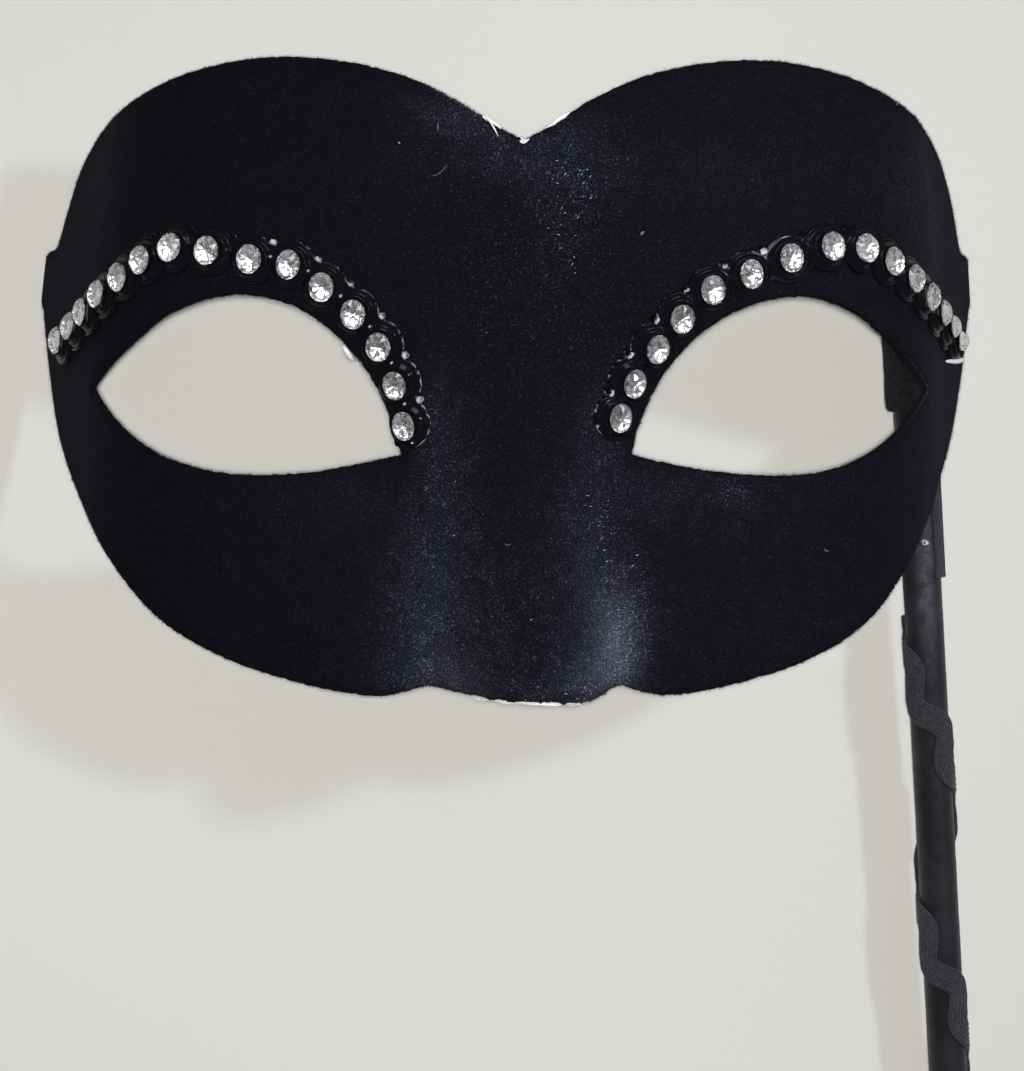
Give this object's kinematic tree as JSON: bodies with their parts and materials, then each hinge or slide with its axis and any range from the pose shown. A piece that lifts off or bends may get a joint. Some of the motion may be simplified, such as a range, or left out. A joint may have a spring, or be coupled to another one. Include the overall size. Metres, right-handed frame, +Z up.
{
  "type": "masquerade half mask on a stick",
  "caption": "Black flocked wrap-round half mask with rhinestone trim over the eyes and a braid-wound stick to hold it by.",
  "frame": {"origin": "middle of the part in plan, on the surface that it lies on", "axes": "+X to the viewer's right across the mask, +Y from the stick's free end towards the brow, +Z up out of the mask's face"},
  "size_m": [0.1728, 0.3343, 0.0639],
  "materials": {
    "flock": "black flock on a thin formed plastic shell",
    "trim_black": "glossy black moulded trim",
    "crystal": "clear cut stone with a bright back",
    "satin": "round wooden stick in a thin black satin covering",
    "braid": "ribbed black rickrack braid",
    "felt": "matte dark felt",
    "hot_glue": "clear hot glue"
  },
  "bodies": {
    "root": {"mask_shell": "flock", "trim_band_left": "trim_black", "trim_band_right": "trim_black", "stick": "satin", "stick_braid": "braid", "stick_sleeve": "felt", "glue_bead": "hot_glue", "rhinestone_left_01": "crystal", "rhinestone_left_02": "crystal", "rhinestone_left_03": "crystal", "rhinestone_left_04": "crystal", "rhinestone_left_05": "crystal", "rhinestone_left_06": "crystal", "rhinestone_left_07": "crystal", "rhinestone_left_08": "crystal", "rhinestone_left_09": "crystal", "rhinestone_left_10": "crystal", "rhinestone_left_11": "crystal", "rhinestone_left_12": "crystal", "rhinestone_left_13": "crystal", "rhinestone_left_14": "crystal", "rhinestone_left_15": "crystal", "rhinestone_right_01": "crystal", "rhinestone_right_02": "crystal", "rhinestone_right_03": "crystal", "rhinestone_right_04": "crystal", "rhinestone_right_05": "crystal", "rhinestone_right_06": "crystal", "rhinestone_right_07": "crystal", "rhinestone_right_08": "crystal", "rhinestone_right_09": "crystal", "rhinestone_right_10": "crystal", "rhinestone_right_11": "crystal", "rhinestone_right_12": "crystal", "rhinestone_right_13": "crystal", "rhinestone_right_14": "crystal", "rhinestone_right_15": "crystal"}
  },
  "joints": []
}
